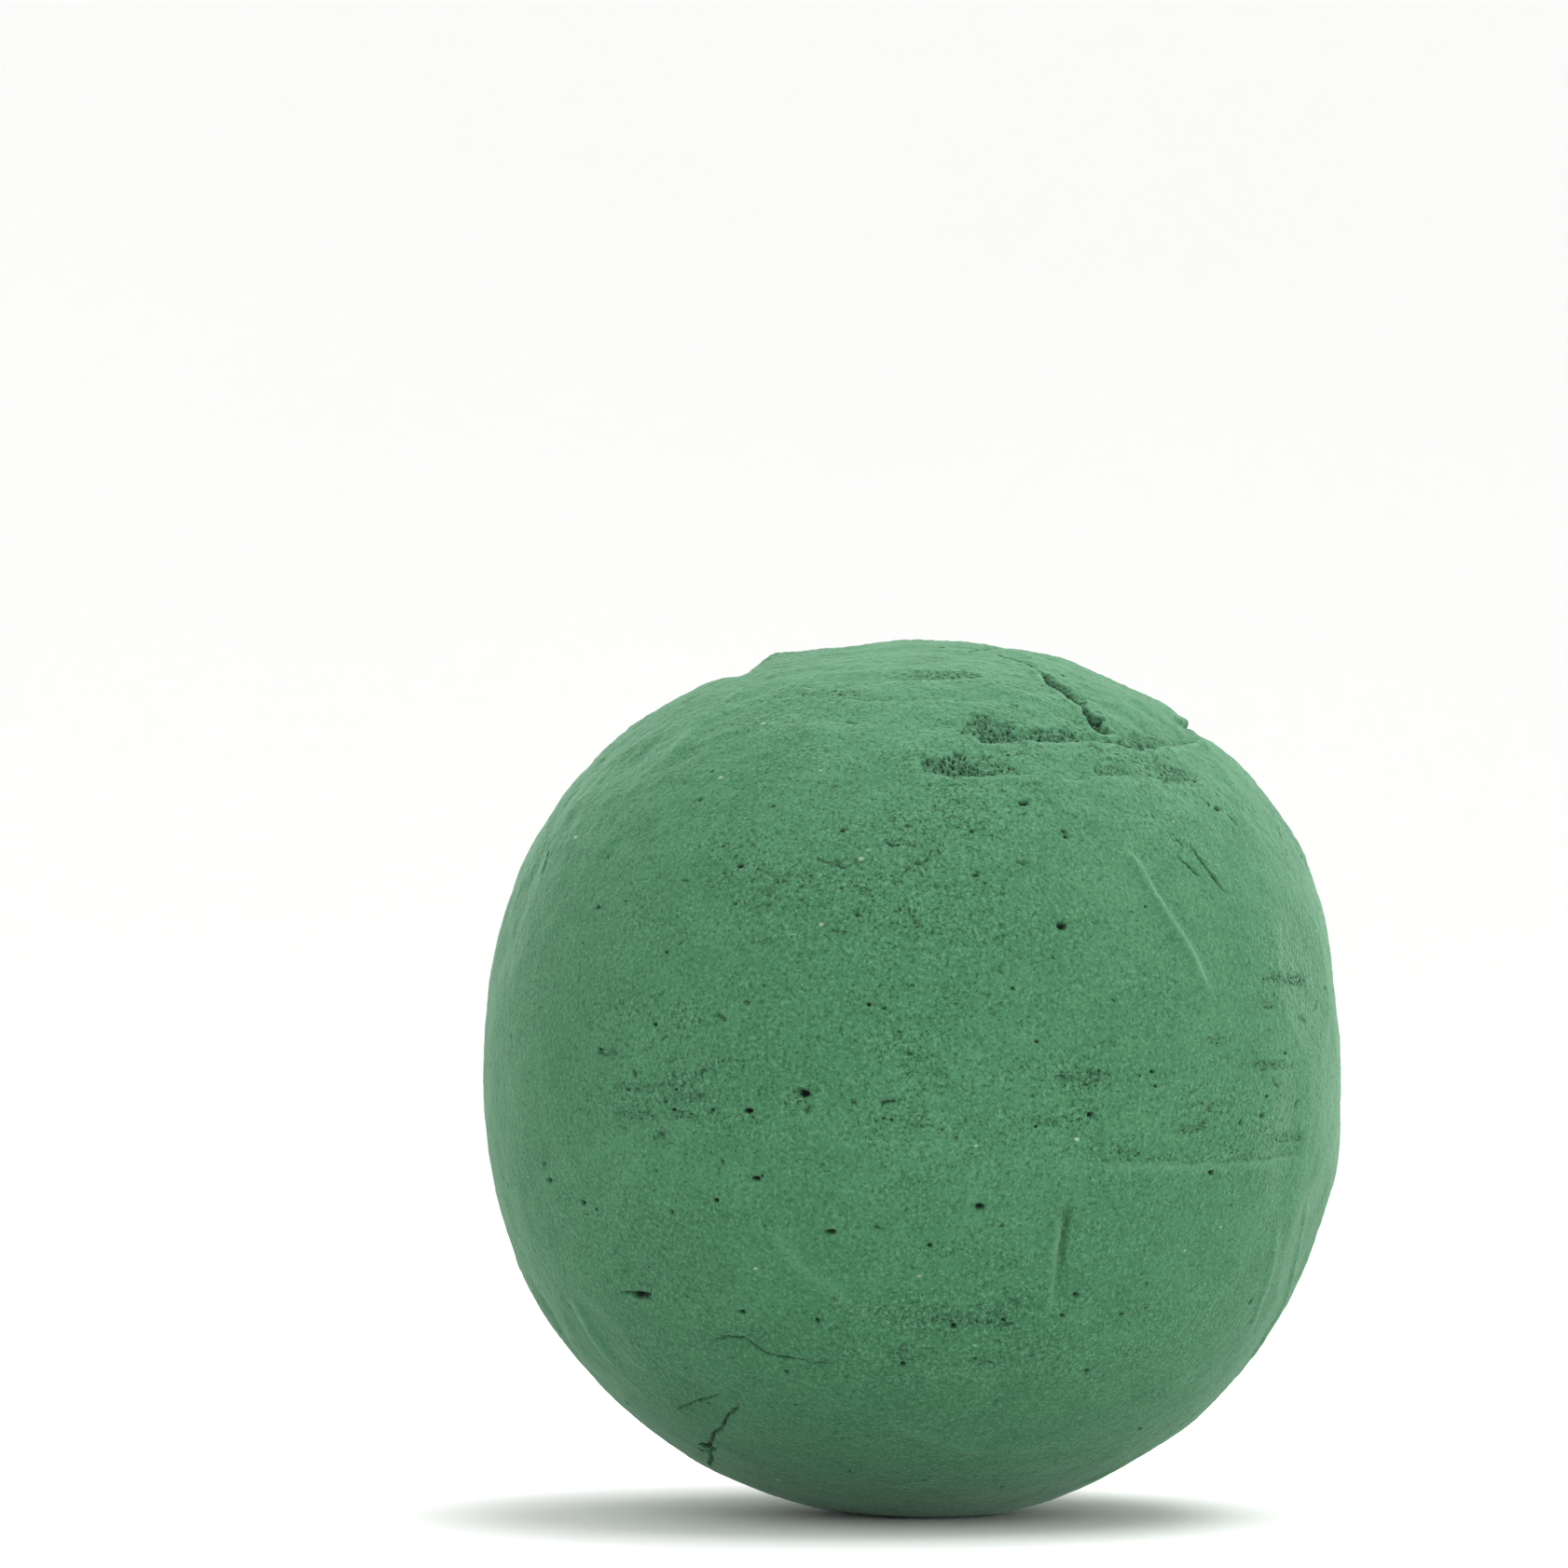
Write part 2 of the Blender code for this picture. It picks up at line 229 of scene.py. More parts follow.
# Low ridges pressed up beside a crease: their line, half width and height (below 0 for a groove)
RIDGES = [
    ([(21.2, 24.2), (24.8, 18.5), (27.6, 14.0), (31.0, 7.0)], 0.55, 0.48),
    ([(15.9, -12.2), (15.8, -15.5), (15.4, -19.0), (14.8, -23.0)], 0.60, -0.46),
    ([(14.9, -13.4), (14.6, -17.0), (14.2, -20.5), (13.8, -24.8)], 0.5, 0.28),
    ([(-31.0, -7.0), (-26.0, -5.2), (-22.0, -5.0)], 0.5, 0.12),
    ([(-34.6, -22.4), (-32.6, -26.4), (-30.2, -29.6)], 0.8, 0.35),
    ([(40.5, -12.0), (39.0, -20.0), (36.6, -26.0), (33.0, -31.0)], 0.8, 0.25),
    ([(37.5, -14.0), (36.5, -21.0), (34.0, -27.0)], 0.7, 0.18),
    ([(-15.0, -14.5), (-12.5, -18.5), (-8.0, -22.5), (-3.0, -25.0)], 0.8, 0.22),
    ([(-4.0, -34.5), (2.0, -36.8), (8.0, -38.4)], 0.7, 0.16),
    ([(-18.2, 41.5), (-22.5, 35.0), (-26.0, 31.0)], 0.9, 0.25),
    ([(-26.0, -6.0), (-29.0, -9.0), (-30.5, -13.5)], 0.8, 0.12),
    ([(16.0, -42.0), (24.0, -38.0), (31.0, -32.5)], 1.0, 0.18),
]

# Shallow dents from fingers: middle, half width, half height, depth (below 0 for a bulge)
DENTS = [
    ((17.0, -17.0), (1.5, 4.8), 0.40),
    ((-28.0, -19.8), (2.4, 1.6), 0.35),
    ((-37.0, -24.5), (1.8, 5.0), 0.50),
    ((29.0, -12.0), (11.0, 2.6), 0.20),
    ((26.0, 12.5), (2.5, 8.0), 0.25),
    ((-29.0, 31.5), (3.5, 2.2), 0.30),
    ((-38.5, 21.5), (1.6, 4.0), 0.35),
    ((38.5, -8.0), (2.5, 8.0), 0.30),
    ((7.0, -20.0), (7.0, 4.0), 0.25),
    ((-8.0, -20.0), (5.0, 4.0), 0.20),
    ((33.0, 22.0), (4.0, 3.0), 0.20),
    ((23.5, 38.2), (4.5, 2.6), -0.45),
    ((17.0, 33.0), (9.0, 1.0), -0.15),
    ((-9.0, 37.0), (7.0, 1.6), 0.18),
    ((3.0, 36.0), (5.0, 1.4), 0.22),
]

# Dents and bulges that show on the outline: azimuth, elevation, half width, half height, depth
EDGE_DENTS = [
    (-90.0, 82.0, 8.0, 3.0, 0.30), (-90.0, 72.5, 6.0, 1.7, -0.45), (-90.0, 66.8, 8.0, 1.9, 1.50),
    (-90.0, 67.2, 9.0, 1.1, 0.60),
    (-90.0, 45.0, 8.0, 6.0, 0.35), (-90.0, 48.5, 8.0, 2.5, 0.25), (-90.0, 33.0, 8.0, 3.0, 0.45),
    (-90.0, 25.0, 8.0, 5.0, 0.20), (90.0, 12.0, 8.0, 5.0, 0.35),
    (90.0, 31.0, 8.0, 3.5, -0.25), (90.0, 48.5, 6.0, 2.6, 0.32),
    (88.0, 60.0, 8.0, 3.5, 0.40), (90.0, 53.3, 6.0, 1.1, 0.35),
    (90.0, 70.0, 6.0, 3.0, -0.30), (90.0, -12.0, 8.0, 4.0, -0.30), (90.0, -37.0, 8.0, 5.0, 0.35),
    (90.0, -27.0, 8.0, 7.0, 0.25), (90.0, -45.0, 8.0, 4.0, 0.25), (90.0, -60.0, 8.0, 6.0, 0.35),
    (-90.0, -45.0, 8.0, 8.0, 0.20),
]

# ---------------------------------------------------------------- the marks all round
SEED = 7
HIDDEN_SIDE_PITS = 55
TINY_PITS = 140
HIDDEN_SIDE_CUTS = 14
SHORT_CRACKS_PER_AREA = 0.16  # in a coarse place of full strength, for each square millimetre
HIDDEN_SIDE_PATCHES = 12
HIDDEN_SIDE_STEPS = 4
CLEAR_OF_OUTLINE = 0.25  # a torn patch lies at least this share of the radius behind the outline

# ---------------------------------------------------------------- the mesh
CAGE_CELLS = 64  # along each edge of the starting cube
FINE_CUTS = (1, 1)  # extra cuts in a cell that holds a mark, then in one that holds a torn mark
FINE_PIT = 0.48  # a pit wider than this gets a finer mesh
SMOOTH_LEVELS = 2


def unit(vectors):
    return vectors / np.linalg.norm(vectors, axis=-1, keepdims=True)


def direction(azimuth, elevation):
    a = math.radians(azimuth)
    e = math.radians(elevation)
    return np.array([math.sin(a) * math.cos(e), -math.cos(a) * math.cos(e), math.sin(e)])


def smooth_step(low, high, values):
    t = np.clip((values - low) / (high - low), 0.0, 1.0)
    return t * t * (3.0 - 2.0 * t)


# ---------------------------------------------------------------- noise

def scramble(cells, seed):
    """A repeatable number from 0 to 1 for each whole-numbered cell."""
    x, y, z = (cells[:, i].astype(np.uint32) for i in range(3))
    mixed = x * np.uint32(374761393) + y * np.uint32(668265263) + z * np.uint32(2246822519)
    mixed += np.uint32((seed * 3266489917) % 2**32)
    mixed ^= mixed >> np.uint32(15)
    mixed *= np.uint32(2246822519)
    mixed ^= mixed >> np.uint32(13)
    mixed *= np.uint32(3266489917)
    mixed ^= mixed >> np.uint32(16)
    return (mixed / 2.0**32).astype(np.float32)


def value_noise(points, size, seed):
    """Smooth noise from -1 to 1 whose lumps are about one size across."""
    scaled = points / size
    whole = np.floor(scaled)
    part = (scaled - whole).astype(np.float32)
    part = part * part * (3.0 - 2.0 * part)
    whole = whole.astype(np.int64)
    total = np.zeros(len(points), np.float32)
    for corner in itertools.product((0, 1), repeat=3):
        weights = np.where(np.array(corner) == 1, part, 1.0 - part)
        total += weights.prod(axis=1) * scramble(whole + np.array(corner), seed)
    return 2.0 * total - 1.0


def fractal_noise(points, size, seed, octaves):
    total = np.zeros(len(points), np.float32)
    share = 1.0
    for octave in range(octaves):
        total += share * value_noise(points, size / 2**octave, seed + octave)
        share *= 0.5
    return total


def cell_noise(points, size, seed):
    """Distance to the nearest cell's middle, in cell sizes, and that cell's own number."""
    scaled = points / size
    whole = np.floor(scaled).astype(np.int64)
    nearest = np.full(len(points), 9.0, np.float32)
    number = np.zeros(len(points), np.float32)
    for offset in itertools.product((-1, 0, 1), repeat=3):
        cell = whole + np.array(offset)
        middle = np.stack([scramble(cell, seed + i) for i in range(3)], axis=1)
        away = ((cell + middle - scaled) ** 2).sum(axis=1)
        closer = away < nearest
        nearest[closer] = away[closer]
        number[closer] = scramble(cell[closer], seed + 3)
    return np.sqrt(nearest), number


# ---------------------------------------------------------------- form

def turned_radius(elevations):
    radius = np.full(elevations.shape, STATIONS[-1][1])
    for (low, r_low), (high, r_high) in zip(STATIONS, STATIONS[1:]):
        inside = (elevations >= low) & (elevations <= high)
        step = smooth_step(low, high, elevations[inside])
        radius[inside] = r_low + (r_high - r_low) * step
    return radius


def swollen_radius(towards):
    radius = turned_radius(np.degrees(np.arcsin(np.clip(towards[:, 2], -1.0, 1.0))))
    for azimuth, elevation, height, spread in SWELLINGS:
        facing = np.clip(towards @ direction(azimuth, elevation), -1.0, 1.0)
        radius += height * np.exp(-0.5 * (np.degrees(np.arccos(facing)) / spread) ** 2)
    return radius


def form_radius(towards):
    radius = swollen_radius(towards)
    for azimuth, elevation, depth in FACETS:
        axis = direction(azimuth, elevation)
        plane = swollen_radius(axis[None, :])[0] - depth
        facing = towards @ axis
        under = facing > FACET_REACH
        radius[under] = np.minimum(radius[under], plane / facing[under])
    return radius


def seen_at(across, up):
    """Point on the form, from the ball's centre, that shows at a place when seen from the front."""
    eye = np.array([0.0, -VIEW_DISTANCE, 0.0])
    ray = np.array([across * MARK_SPREAD, VIEW_DISTANCE, up * MARK_SPREAD])
    radius = MEAN_RADIUS
    for _ in range(4):
        a = ray @ ray
        b = eye @ ray
        inside = max(b * b - a * (eye @ eye - radius * radius), 0.0)
        point = eye + ray * (-b - math.sqrt(inside)) / a
        towards = unit(point)
        radius = form_radius(towards[None, :])[0]
    return towards * radius


def on_skin(towards):
    return towards * form_radius(towards[None, :])[0]


def as_seen(across, up, width, height):
    """A place on the form and the size over it of something given as it is seen."""
    middle = seen_at(across, up)
    towards = unit(middle)
    rise = math.sqrt(1.0 - towards[2] ** 2)
    turn = abs(towards[1]) / rise
    return middle, width / max(turn, LEAST_TURN), height / max(rise, LEAST_TURN)


# ---------------------------------------------------------------- marks

class Skin:
    """Points of the ball's skin, in millimetres from its centre, and what marks them."""

    def __init__(self, towards):
        self.towards = towards
        self.points = towards * form_radius(towards)[:, None]
        self.order = np.argsort(self.points[:, 2])
        self.levels = self.points[self.order, 2]
        self.height = np.zeros(len(towards))
        self.slip = np.zeros((len(towards), 3))
        self.torn = np.zeros(len(towards))
        self.coarse = np.zeros(len(towards))
        # how much painted shade and painted highlight each point gets
        self.painted_shade = np.zeros(len(towards))
        self.painted_highlight = np.zeros(len(towards))

    def within(self, middle, reach):
        """Which points lie within reach of a place."""
        first, last = np.searchsorted(self.levels, (middle[2] - reach, middle[2] + reach))
        near = self.order[first:last]
        return near[((self.points[near] - middle) ** 2).sum(axis=1) < reach * reach]

    def around(self, middle, reach):
        """Which points lie within reach of a place, and their places across and up from it."""
        near = self.within(middle, reach)
        outwards = unit(middle)
        across = unit(np.cross([0.0, 0.0, 1.0], outwards))
        upwards = np.cross(outwards, across)
        offsets = self.points[near] - middle
        return near, offsets @ across, offsets @ upwards

    def beside(self, line, reach):
        """Which points lie within reach of a line, how far to its right side (or, below 0, to its
        left) they are, and how far along it, from 0 to 1."""
        middle = 0.5 * (line.min(axis=0) + line.max(axis=0))
        near = self.within(middle, np.linalg.norm(line - middle, axis=1).max() + reach)
        points = self.points[near]
        best = np.full(len(near), 1e9)
        side = np.zeros(len(near))
        along = np.zeros(len(near))
        starts = line_lengths(line)
        for start, end, first, last in zip(line, line[1:], starts, starts[1:]):
            way = end - start
            share = np.clip((points - start) @ way / (way @ way), 0.0, 1.0)
            offset = points - start - share[:, None] * way
            away = np.linalg.norm(offset, axis=1)
            closer = away < best
            best[closer] = away[closer]
            side[closer] = np.sign(offset[closer] @ np.cross(way, unit(start)))
            along[closer] = (first + share[closer] * (last - first)) / starts[-1]
        kept = best < reach
        return near[kept], best[kept] * side[kept], along[kept]

    # painted shade, keeping the strongest given to each point
    def paint_shade(self, near, much):
        self.painted_shade[near] = np.maximum(self.painted_shade[near], much)


def line_lengths(line):
    """Length along a line up to each of its points."""
    steps = np.linalg.norm(np.diff(line, axis=0), axis=1)
    return np.concatenate([[0.0], np.cumsum(steps)])


def rounded_line(line, rounds):
    """The line with its corners cut."""
    for _ in range(rounds if len(line) > 2 else 0):
        first = 0.75 * line[:-1] + 0.25 * line[1:]
        second = 0.25 * line[:-1] + 0.75 * line[1:]
        middle = np.stack([first, second], axis=1).reshape(-1, 3)
        line = np.concatenate([line[:1], middle[1:-1], line[-1:]])
    return line


def front_line(places, rounds=2):
    return rounded_line(np.array([seen_at(*place) for place in places]), rounds)


def taper(along, ends=0.15):
    """From 0 at both ends of a line to 1 along its middle."""
    return smooth_step(0.0, ends, along) * smooth_step(0.0, ends, 1.0 - along)


def bell(values, width):
    return np.exp(-((values / width) ** 2))


def ragged(skin, near, size, amount, seed):
    return amount * fractal_noise(skin.points[near], size, seed, 2)


def press_dent(skin, middle, size, depth):
    near, across, up = skin.around(middle, 2.2 * max(size))
    skin.height[near] -= depth * np.exp(-((across / size[0]) ** 2) - (up / size[1]) ** 2)


def raise_ridge(skin, line, width, height):
    near, side, along = skin.beside(line, 4.0 * width)
    side = side + ragged(skin, near, size=3.0, amount=0.15, seed=30)
    ends = taper(along, 0.2)
    skin.height[near] += height * bell(side, width) * ends
    # painted highlight along the crest, a little to one side of it
    skin.painted_highlight[near] += 2.0 * height * bell(side + 0.3 * width, 0.7 * width) * ends


def cut_step(skin, line, height, fade, lip_height):
    """Lower the skin on the left of a line that runs to the right, so that the rest stands out."""
    near, side, along = skin.beside(line, 4.0 * fade)
    side = side + ragged(skin, near, size=1.4, amount=0.28, seed=40)
    ends = taper(along, 0.15)
    low = smooth_step(0.12, -0.28, side) * np.exp(np.minimum(side, 0.0) / fade) * ends
    uneven = np.clip(0.75 + ragged(skin, near, size=2.5, amount=0.6, seed=45), 0.1, 1.0)
    lip = bell(side - 0.40, 0.50) * ends * uneven
    skin.height[near] += lip_height * lip - height * low
    # painted highlight along the lip
    skin.painted_highlight[near] += min(1.0, 0.45 + height) * lip
    skin.coarse[near] += 0.6 * low


def tear_cells(skin, near, flat, inside, depth, seed):
    """Open the cells of a torn place. Flat holds places over it, counted in cells."""
    places = np.column_stack([flat, np.zeros(len(near))])
    away, number = cell_noise(places, 1.0, seed)
    hole = smooth_step(0.60, 0.22, away) * (0.25 + 0.75 * number)
    skin.height[near] -= inside * depth * (hole - 0.15)
    # painted shade in the opened cells
    skin.paint_shade(near, inside * smooth_step(0.32, 0.80, hole) * min(1.0, 0.45 + depth))
    # painted shade over the whole torn place
    skin.torn[near] = np.maximum(skin.torn[near], inside * min(1.0, 1.5 * depth))
    skin.coarse[near] += 0.8 * inside


def tear_patch(skin, middle, size, depth, seed):
    """Sink a patch of torn cells, sharp along its lower edge and fading upwards."""
    near, across, up = skin.around(middle, 2.2 * max(size))
    away = np.sqrt((across / size[0]) ** 2 + (up / size[1]) ** 2)
    away += ragged(skin, near, size=1.2, amount=0.35, seed=seed)
    sharp = smooth_step(0.0, 1.0, -up / size[1])
    inside = smooth_step(1.15, 0.45 + 0.45 * sharp, away)
    skin.height[near] -= 0.40 * depth * inside
    cell = UPRIGHT_CELL if size[1] > ROW_HEIGHT else LEVEL_CELL
    flat = np.column_stack([across / cell[0], up / cell[1]])
    flat += fractal_noise(skin.points[near], size=1.0, seed=seed + 50, octaves=1)[:, None] * 0.5
    tear_cells(skin, near, flat, inside, 0.7 * depth, seed)


def open_pit(skin, middle, width, height, depth):
    near, across, up = skin.around(middle, 1.6 * max(width, height))
    away = np.sqrt((across / (0.5 * width)) ** 2 + (up / (0.5 * height)) ** 2)
    away += ragged(skin, near, size=0.45, amount=0.25, seed=60)
    inside = smooth_step(1.15, 0.55, away)
    skin.height[near] -= depth * inside
    # painted shade in the pit
    skin.paint_shade(near, inside)


def cut_line(skin, line, width, depth):
    near, side, along = skin.beside(line, 6.0 * width + 0.4)
    side = side + ragged(skin, near, size=0.9, amount=0.14, seed=70)
    side = side + ragged(skin, near, size=0.45, amount=0.07, seed=72)
    inside = bell(side, width) * taper(along, 0.2)
    skin.height[near] -= depth * inside
    # painted shade in the cut, stronger where it is narrow and deep
    patchy = 0.6 + 0.5 * depth + ragged(skin, near, size=0.8, amount=0.9 - depth, seed=75)
    skin.paint_shade(near, np.clip(min(1.0, 0.45 * depth / width) * inside * patchy, 0.0, 1.0))


def gouge(skin, middle, size, depth):
    near, across, up = skin.around(middle, 2.5 * max(size))
    away = (across / size[0]) ** 2 + (up / size[1]) ** 2
    away += ragged(skin, near, size=0.5, amount=0.35, seed=80)
    inside = smooth_step(1.3, 0.2, away)
    skin.height[near] -= depth * inside
    # painted shade in the gouge
    skin.paint_shade(near, 0.95 * smooth_step(0.0, 0.55, inside))


def open_crack(skin, line, widths, depths):
    """The big crack. Its left lip stands up, overhangs and has a sharp edge. Behind it a torn wall
    comes up again to the flap on the right, as the line runs down from the crown."""
    near, side, along = skin.beside(line, 4.5)
    side = -side  # the wall is on the +X side
    length = line_lengths(line)[-1]
    shares = line_lengths(line) / length
    wide = np.interp(along, shares, widths)
    deep = np.interp(along, shares, depths)
    side = side + ragged(skin, near, size=0.8, amount=0.10, seed=90)
    share = side / wide + ragged(skin, near, size=0.55, amount=0.20, seed=91)
    share = np.clip(share, 0.0, 1.0)
    ends = taper(along, 0.04)
    wall = smooth_step(-0.04, 0.10, side) * (1.0 - share) ** 1.3 * ends
    rough = ragged(skin, near, size=0.5, amount=0.22, seed=93)
    skin.height[near] -= deep * wall + rough * np.minimum(wall, 0.5)
    # the lip stands up more and more on the way down
    stands = smooth_step(0.05, 0.40, along) * ends * (side < 0.05)
    skin.height[near] += 0.20 * bell(side + 0.40, 0.55) * stands
    # painted highlight along the lip's sharp edge
    skin.painted_highlight[near] += 0.9 * bell(side + 0.22, 0.30) * ends * (side < 0.05)
    # painted shade on the wall, darkest where it is deep, and its cells are torn open
    wall_shade = smooth_step(0.0, 0.10, side) * smooth_step(0.95, 0.15, share) * ends
    patchy = 0.70 + ragged(skin, near, size=0.4, amount=0.50, seed=94)
    wall_shade *= smooth_step(0.7, 1.7, deep) * patchy
    skin.paint_shade(near, np.clip(0.60 * wall_shade, 0.0, 1.0))
    inside = smooth_step(0.03, 0.30, wall) * np.minimum(1.0, 0.7 * deep)
    flat = np.column_stack([along * length / CRACK_CELL[0], side / CRACK_CELL[1]])
    tear_cells(skin, near, flat, inside, 0.60, 92)
    # the deepest points slip under the lip, towards the left of the crack
    left = unit(np.cross(line[-1] - line[0], unit(line.mean(axis=0))))
    skin.slip[near] += np.outer(0.25 * deep * wall**2 * (side < 0.5), left)


# ---------------------------------------------------------------- marks on the sides and behind

def scattered(generator, count, front_too):
    """Directions spread evenly over the ball, or over what the front view doesn't show."""
    found = []
    while len(found) < count:
        towards = unit(generator.normal(size=3))
        if front_too or towards[1] > -0.25:
            found.append(towards)
    return found


def wandering_line(generator, towards, length, turn):
    """Line over the skin that starts at a place and wanders."""
    points = [on_skin(towards)]
    way = unit(np.cross(towards, unit(generator.normal(size=3))))
    steps = max(3, int(length / 1.2))
    for _ in range(steps):
        way = unit(way + turn * generator.normal(size=3))
        following = unit(points[-1] + way * length / steps)
        points.append(on_skin(following))
    return np.array(points)


def level_line(towards, length):
    """Short line over the skin, level and running to the right."""
    across = unit(np.cross([0.0, 0.0, 1.0], towards))
    shares = np.linspace(-0.5, 0.5, 7)
    return np.array([on_skin(unit(MEAN_RADIUS * towards + across * length * s)) for s in shares])


def short_cracks(generator, middle, size, much):
    """Short cracks between the cells of a coarse place, most of them nearly level."""
    outwards = unit(middle)
    across = unit(np.cross([0.0, 0.0, 1.0], outwards))
    upwards = np.cross(outwards, across)
    cuts = []
    for _ in range(int(SHORT_CRACKS_PER_AREA * size[0] * size[1] * much)):
        right, rise, turn, length = generator.normal(size=4)
        place = middle + 0.6 * (right * size[0] * across + rise * size[1] * upwards)
        way = across + 0.5 * turn * upwards + 0.3 * generator.normal() * across
        half = (0.5 + 0.4 * abs(length)) * unit(way)
        bend = 0.25 * generator.normal() * upwards
        line = np.array([on_skin(unit(p)) for p in (place - half, place + bend, place + half)])
        cuts.append((line, 0.14 + 0.04 * generator.random(), 0.12 + 0.20 * generator.random()))
    return cuts


def spread_patch(place, size, much):
    middle, width, height = as_seen(*place, *size)
    return middle, (width, height), much


def front_plan():
    """The marks placed one by one, each with its place worked out."""
    flap_edge = np.array([on_skin(direction(*place)) for place in FLAP_EDGE])
    steps = [(front_line(places), h, fade, min(0.25, 0.32 * h)) for places, h, fade in STEPS]
    steps.append((rounded_line(flap_edge, 2), FLAP_EDGE_HEIGHT, FLAP_EDGE_FADE, 0.0))
    dents = [(seen_at(*place), size, depth) for place, size, depth in DENTS]
    dents += [(on_skin(direction(a, e)), (w, h), depth) for a, e, w, h, depth in EDGE_DENTS]
    return {
        "dents": dents,
        "ridges": [(front_line(places), w, h) for places, w, h in RIDGES],
        "steps": steps,
        "patches": [spread_patch(*patch) for patch in TORN_PATCHES],
        "coarse": [spread_patch(*patch) for patch in COARSE_PATCHES],
        "pits": [(*as_seen(*pit), 0.9 * min(pit[2:]) + 0.15) for pit in PITS],
        "gouges": [(seen_at(*place), size, depth) for place, size, depth in GOUGES],
        "cuts": [(front_line(places, 0), w, d) for places, w, d in CUTS],
        "crack": np.array([seen_at(x, z) for x, z, _, _ in CRACK]),
    }


def plan_marks():
    """The marks placed one by one, and seeded ones behind, on the sides and all round."""
    generator = np.random.default_rng(SEED)
    plan = front_plan()
    for towards in scattered(generator, HIDDEN_SIDE_PITS, front_too=False):
        width = 0.5 + 0.8 * generator.random() ** 2
        height = width * (0.5 + 0.5 * generator.random())
        plan["pits"].append((on_skin(towards), width, height, 0.9 * height + 0.15))
    for towards in scattered(generator, TINY_PITS, front_too=True):
        width = 0.34 + 0.16 * generator.random()
        plan["pits"].append((on_skin(towards), width, 0.8 * width, 0.7 * width))
    for towards in scattered(generator, HIDDEN_SIDE_CUTS, front_too=False):
        line = wandering_line(generator, towards, 2.0 + 7.0 * generator.random(), 0.35)
        plan["cuts"].append((line, 0.10 + 0.05 * generator.random(), 0.2))
    for towards in scattered(generator, HIDDEN_SIDE_STEPS, front_too=False):
        if abs(towards[2]) < 0.8:
            line = level_line(towards, 9.0 + 8.0 * generator.random())
            plan["steps"].append((line, 0.35, 1.6, 0.11))
    for towards in scattered(generator, HIDDEN_SIDE_PATCHES, front_too=False):
        size = (1.5 + 3.0 * generator.random(), 0.6 + 0.7 * generator.random())
        depth = 0.2 + 0.4 * generator.random()
        wide = (8.0 + 5.0 * generator.random(), 4.0 + 4.0 * generator.random())
        plan["coarse"].append((on_skin(towards), wide, 0.8))
        crease = wandering_line(generator, towards, 12.0, 0.12)
        if towards[1] > CLEAR_OF_OUTLINE:
            plan["patches"].append((on_skin(towards), size, depth))
            plan["ridges"].append((crease, 0.7, 0.2))
        wide = (3.0 + 6.0 * generator.random(), 2.0 + 3.0 * generator.random())
        plan["dents"].append((on_skin(unit(towards + 0.3 * generator.normal(size=3))), wide, 0.3))
    for middle, size, much in plan["coarse"]:
        plan["cuts"] += short_cracks(generator, middle, size, much**2)
    return plan


def mark_skin(skin, plan):
    for middle, size, depth in plan["dents"]:
        press_dent(skin, middle, size, depth)
    for line, width, height in plan["ridges"]:
        raise_ridge(skin, line, width, height)
    for middle, size, much in plan["coarse"]:
        near, across, up = skin.around(middle, 2.0 * max(size))
        skin.coarse[near] += much * np.exp(-((across / size[0]) ** 2) - (up / size[1]) ** 2)
    for line, height, fade, lip_height in plan["steps"]:
        cut_step(skin, line, height, fade, lip_height)
    for number, (middle, size, depth) in enumerate(plan["patches"]):
        tear_patch(skin, middle, size, depth, 100 + number)
    open_crack(skin, plan["crack"], *zip(*((width, depth) for _, _, width, depth in CRACK)))
    for line, width, depth in plan["cuts"]:
        cut_line(skin, line, width, depth)
    for middle, size, depth in plan["gouges"]:
        gouge(skin, middle, size, depth)
    for middle, width, height, depth in plan["pits"]:
        open_pit(skin, middle, width, height, depth)


def roughen_skin(skin):
    """The foam itself: hand-sized unevenness down to single clumps of cells."""
    points = skin.points
    skin.height += 0.20 * fractal_noise(points, size=13.0, seed=200, octaves=4)

    # level lumps, higher towards the crown
    level = points * np.array([0.30, 0.8, 0.8])
    upper = smooth_step(10.0, 36.0, points[:, 2])
    skin.height += (0.05 + 0.13 * upper) * fractal_noise(level, size=1.7, seed=210, octaves=2)

    # the coarse places break up into wide drifts and thin level bands
    drift = points * np.array([0.35, 0.35, 1.0])
    drift = smooth_step(-0.2, 0.9, fractal_noise(drift, size=4.5, seed=220, octaves=3))
    bands = points * np.array([0.25, 0.25, 1.0])
    bands = smooth_step(0.0, 0.8, fractal_noise(bands, size=1.4, seed=225, octaves=2))
    skin.coarse *= 0.42 + 0.40 * drift + 0.95 * bands
    skin.coarse = np.clip(skin.coarse + 0.25 * drift, 0.0, 1.0)

    # clumps of cells, a few of which have sunk, with painted shade in the sunk ones
    away, number = cell_noise(points, size=0.80, seed=230)
    skin.height += (0.04 + 0.07 * skin.coarse + 0.05 * upper) * (0.6 - away) * 1.6
    sunk = smooth_step(0.84, 0.99, number) * smooth_step(0.50, 0.25, away)
    skin.height -= sunk * (0.14 * skin.coarse + 0.02)
    skin.painted_shade = np.maximum(skin.painted_shade, 0.6 * sunk * smooth_step(0.3, 0.9, skin.coarse))


# ---------------------------------------------------------------- mesh

def cube_to_ball(cube):
    """Directions for points on the surface of a cube of half width 1, spaced evenly."""
    return unit(np.tan(cube * math.pi / 4.0))


def places_along(line, reach):
    shares = np.linspace(0.0, 1.0, 4)
    pairs = zip(line, line[1:])
    return [(start + share * (end - start), reach) for start, end in pairs for share in shares]


